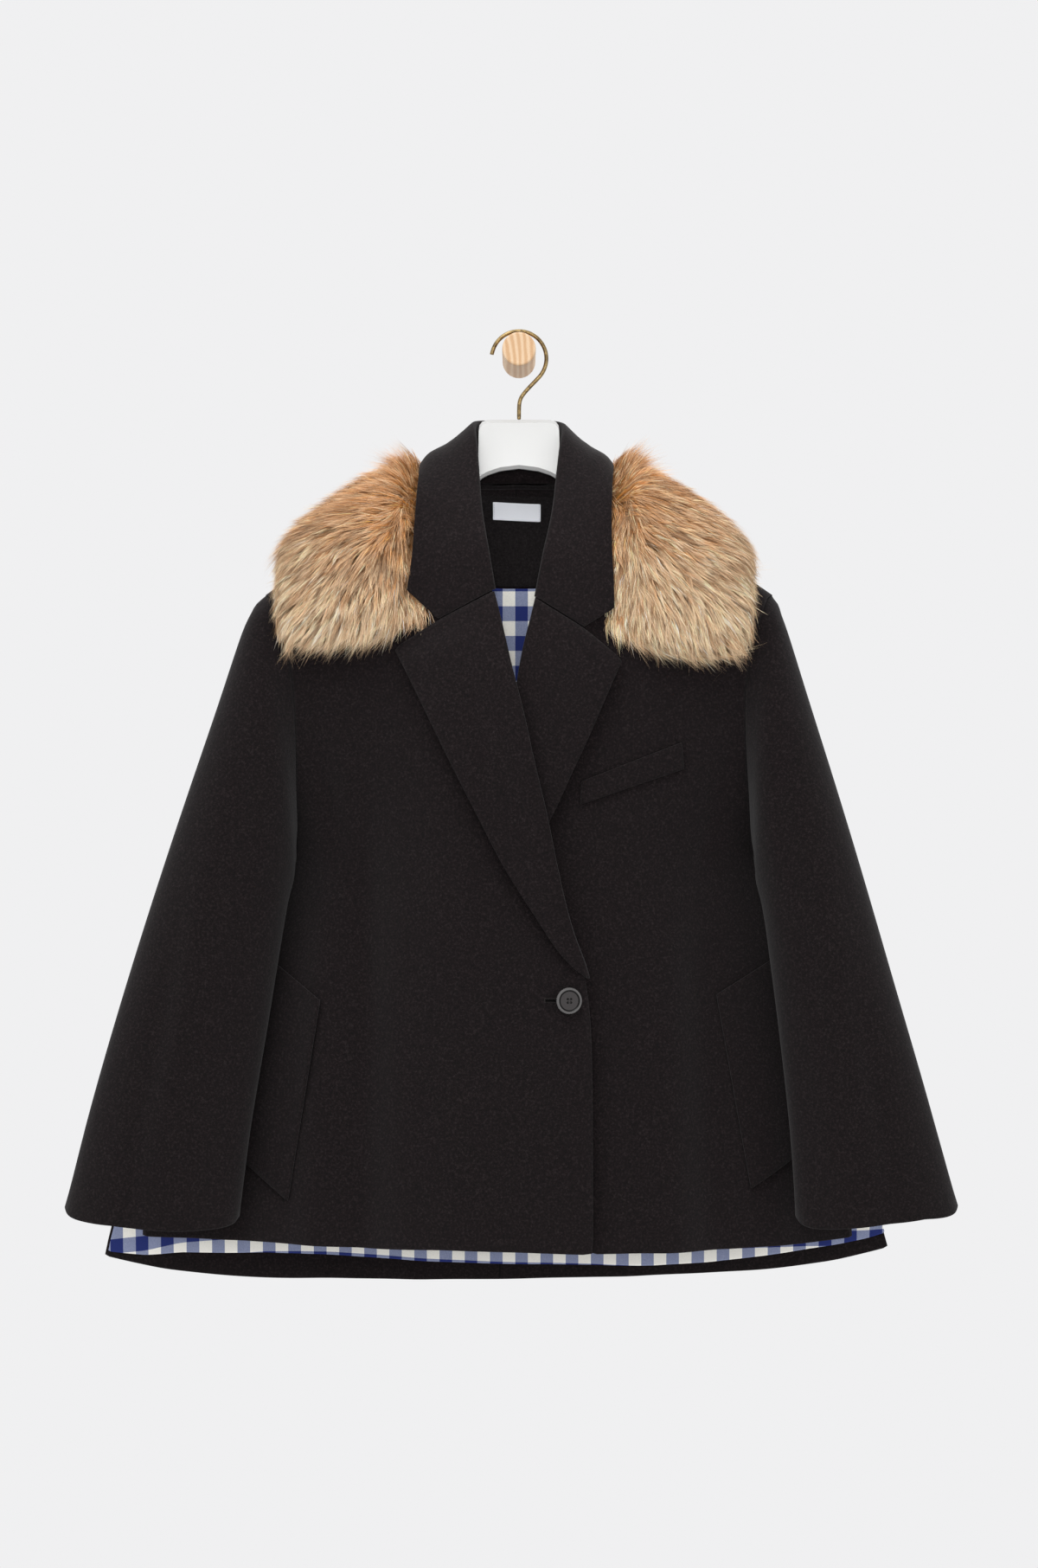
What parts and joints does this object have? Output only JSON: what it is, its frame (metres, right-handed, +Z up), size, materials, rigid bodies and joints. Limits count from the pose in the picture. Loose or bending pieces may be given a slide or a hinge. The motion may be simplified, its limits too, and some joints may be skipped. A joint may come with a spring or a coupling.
{
  "type": "short coat on a hanger",
  "caption": "Short flared wool coat with notched collar, wide fur shoulder collar and checked lining, hung on a plain hanger from a wall peg.",
  "frame": {"origin": "centre of the peg's back face, where it meets the wall", "axes": "+Y out of the coat into the wall, +Z up, +X towards the wearer's left, seen on the right from the front"},
  "size_m": [0.7869, 0.1682, 0.8539],
  "materials": {
    "black_wool": "matt black wool cloth with a short nap",
    "gingham": "navy and cream checked cotton",
    "tan_fur": "long golden tan fur",
    "label_white": "blank white woven label",
    "button_horn": "polished dark horn",
    "hanger_white": "white lacquer",
    "brass": "aged brass wire",
    "pine": "pale turned pine, bare"
  },
  "bodies": {
    "root": {"front_right": "black_wool", "front_left": "black_wool", "back": "black_wool", "sleeve_right": "black_wool", "sleeve_left": "black_wool", "collar": "black_wool", "lapel_right": "black_wool", "lapel_left": "black_wool", "pocket_right": "black_wool", "pocket_left": "black_wool", "breast_welt": "black_wool", "back_facing": "black_wool", "back_lining": "gingham", "fur_collar": "tan_fur", "label": "label_white", "button": "button_horn", "hanger": "hanger_white", "hanger_hook": "brass", "wall_peg": "pine"}
  },
  "joints": []
}
